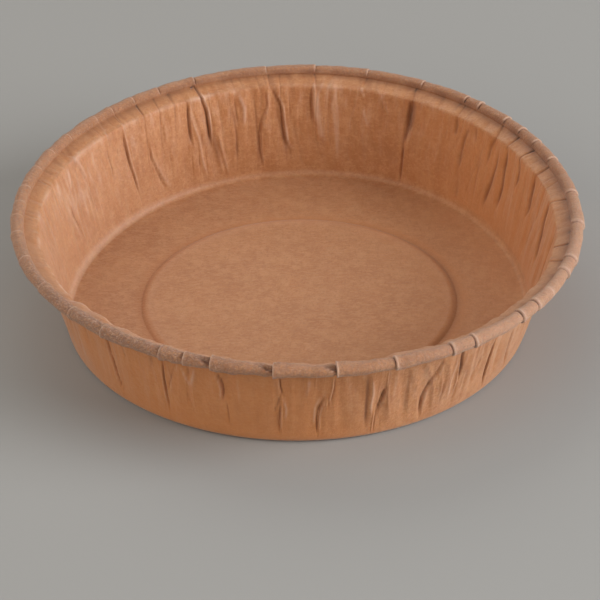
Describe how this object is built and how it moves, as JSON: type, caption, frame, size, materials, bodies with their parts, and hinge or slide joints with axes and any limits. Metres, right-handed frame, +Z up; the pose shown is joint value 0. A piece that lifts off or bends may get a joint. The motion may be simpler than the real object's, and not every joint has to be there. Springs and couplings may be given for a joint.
{
  "type": "paper pie mold",
  "caption": "Round kraft paper pie mold with a raised middle panel in its floor, a flared pleated wall, a narrow ledge and a rolled rim.",
  "frame": {"origin": "middle of the mold's outline, on the surface that it stands on", "axes": "+Z up through the open top; -Y towards the side that the picture is taken from, +X to its right"},
  "size_m": [0.1824, 0.188, 0.0364],
  "materials": {
    "kraft": "matte"
  },
  "bodies": {
    "root": {"pie_mold": "kraft"}
  },
  "joints": []
}
